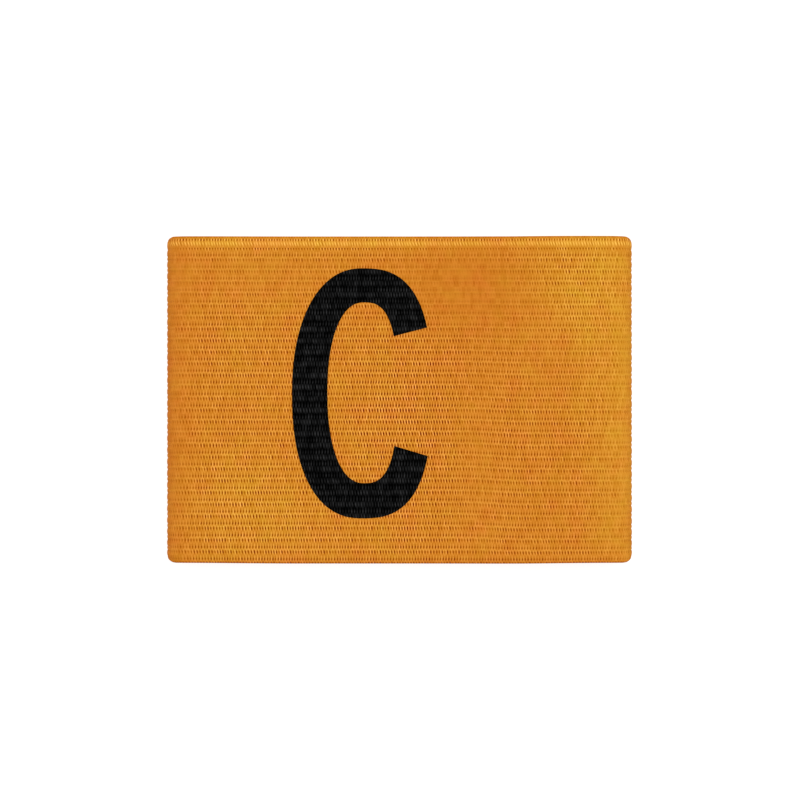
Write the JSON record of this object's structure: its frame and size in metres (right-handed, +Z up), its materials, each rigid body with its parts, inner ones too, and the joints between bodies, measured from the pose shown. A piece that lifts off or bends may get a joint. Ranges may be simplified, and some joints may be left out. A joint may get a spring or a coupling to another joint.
{
  "type": "captain armband",
  "caption": "Loop of ribbed elastic webbing with a plain printed captain's letter, lying pressed flat, its ends lapped and sewn underneath.",
  "frame": {"origin": "middle of the underside of the flattened loop, on the surface that it lies on", "axes": "+X along the flattened loop in the letter's reading direction, +Y across the band towards the top of the letter (the arm goes through along Y), +Z up out of the printed face"},
  "size_m": [0.0998, 0.07, 0.01],
  "materials": {
    "webbing": "ribbed woven elastic, matt, orange",
    "ink": "matt black textile print, the weave shows through"
  },
  "bodies": {
    "root": {"band": "webbing", "printed_letter": "ink"}
  },
  "joints": []
}
